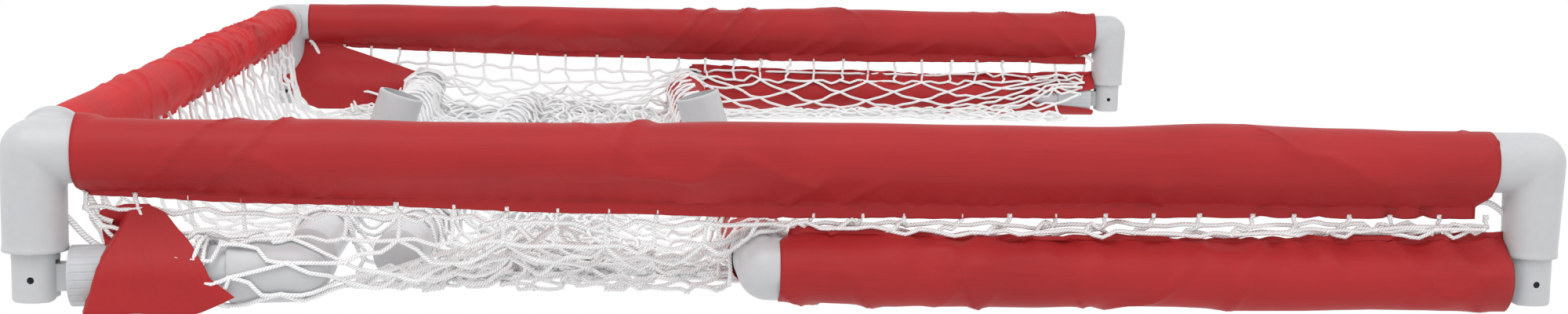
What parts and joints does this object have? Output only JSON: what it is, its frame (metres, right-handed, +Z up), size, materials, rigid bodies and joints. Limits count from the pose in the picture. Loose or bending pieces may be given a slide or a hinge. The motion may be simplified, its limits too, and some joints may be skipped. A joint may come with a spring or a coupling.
{
  "type": "folding hockey goal",
  "caption": "Folding hockey goal of plastic tubes with fabric sleeves and a knotted net, lying folded flat; its top shelf and base swing out on pinned hinges.",
  "frame": {"origin": "centre of the folded goal's footprint, on the floor", "axes": "+Z up from the floor, +X along the posts from the crossbar to the feet, +Y along the crossbar from the goal's right side to its left"},
  "size_m": [1.1222, 1.371, 0.135],
  "materials": {
    "tube_plastic": "extruded rigid vinyl, satin",
    "fitting_plastic": "moulded rigid vinyl, satin",
    "collar_plastic": "moulded, grooved",
    "sleeve_fabric": "coated woven polyester, satin sheen",
    "net_cord": "twisted polyester cord, knotted",
    "pin_steel": "dark steel"
  },
  "bodies": {
    "front_frame": {"crossbar_tube": "tube_plastic", "right_post_tube": "tube_plastic", "left_post_tube": "tube_plastic", "right_top_corner": "fitting_plastic", "left_top_corner": "fitting_plastic", "right_foot_elbow": "fitting_plastic", "left_foot_elbow": "fitting_plastic", "right_top_clevis": "fitting_plastic", "left_top_clevis": "fitting_plastic", "right_foot_clevis": "fitting_plastic", "left_foot_clevis": "fitting_plastic", "hinge_pins": "pin_steel", "crossbar_sleeve": "sleeve_fabric", "right_post_sleeve": "sleeve_fabric", "left_post_sleeve": "sleeve_fabric", "crossbar_net": "net_cord", "net_heap": "net_cord", "right_side_net": "net_cord", "left_side_net": "net_cord"},
    "top_shelf": {"right_shelf_tongue": "fitting_plastic", "left_shelf_tongue": "fitting_plastic", "right_shelf_tube": "tube_plastic", "left_shelf_tube": "tube_plastic", "right_shelf_elbow": "fitting_plastic", "left_shelf_elbow": "fitting_plastic", "right_shelf_rear_tube": "tube_plastic", "left_shelf_rear_tube": "tube_plastic", "right_shelf_sleeve": "sleeve_fabric", "left_shelf_sleeve": "sleeve_fabric"},
    "base_frame": {"right_base_tongue": "fitting_plastic", "left_base_tongue": "fitting_plastic", "right_base_tube": "tube_plastic", "left_base_tube": "tube_plastic", "right_base_elbow": "fitting_plastic", "left_base_elbow": "fitting_plastic", "right_base_rear_tube": "tube_plastic", "left_base_rear_tube": "tube_plastic", "right_base_sleeve": "sleeve_fabric", "left_base_sleeve": "sleeve_fabric", "right_base_rear_sleeve": "sleeve_fabric", "left_base_rear_sleeve": "sleeve_fabric"},
    "shelf_tee": {"shelf_tee": "fitting_plastic"},
    "base_tee": {"base_tee": "fitting_plastic"},
    "support": {"support_tube": "tube_plastic"},
    "right_shelf_collar": {"right_shelf_collar": "collar_plastic"},
    "right_base_collar": {"right_base_collar": "collar_plastic"},
    "left_shelf_collar": {"left_shelf_collar": "collar_plastic"},
    "left_base_collar": {"left_base_collar": "collar_plastic"}
  },
  "joints": [
    {"name": "shelf_fold", "type": "hinge", "parent": "front_frame", "child": "top_shelf", "pos_m": [-0.53612, 0, 0.022], "axis": [0, 1, 0], "range_deg": [0, 91.6]},
    {"name": "base_fold", "type": "hinge", "parent": "front_frame", "child": "base_frame", "pos_m": [0.53887, 0, 0.022], "axis": [0, -1, 0], "range_deg": [0, 90.7]},
    {"name": "shelf_tee_swivel", "type": "hinge", "parent": "top_shelf", "child": "shelf_tee", "pos_m": [-0.35619, 0, 0.02703], "axis": [0, 1, 0], "range_deg": [-20, 0]},
    {"name": "base_tee_swivel", "type": "hinge", "parent": "base_frame", "child": "base_tee", "pos_m": [-0.02558, 0, 0.0289], "axis": [0, 1, 0], "range_deg": [0, 36]},
    {"name": "right_shelf_collar_slide", "type": "slide", "parent": "top_shelf", "child": "right_shelf_collar", "axis": [0.9996, 0, 0.0279], "range_m": [0, 0.025]},
    {"name": "right_base_collar_slide", "type": "slide", "parent": "base_frame", "child": "right_base_collar", "axis": [-0.9999, 0, 0.0122], "range_m": [0, 0.025]},
    {"name": "left_shelf_collar_slide", "type": "slide", "parent": "top_shelf", "child": "left_shelf_collar", "axis": [0.9996, 0, 0.0279], "range_m": [0, 0.025]},
    {"name": "left_base_collar_slide", "type": "slide", "parent": "base_frame", "child": "left_base_collar", "axis": [-0.9999, 0, 0.0122], "range_m": [0, 0.025]},
    {"name": "support_removal", "type": "slide", "parent": "front_frame", "child": "support", "axis": [0, 0, -1], "range_m": [0, 0.04]}
  ]
}
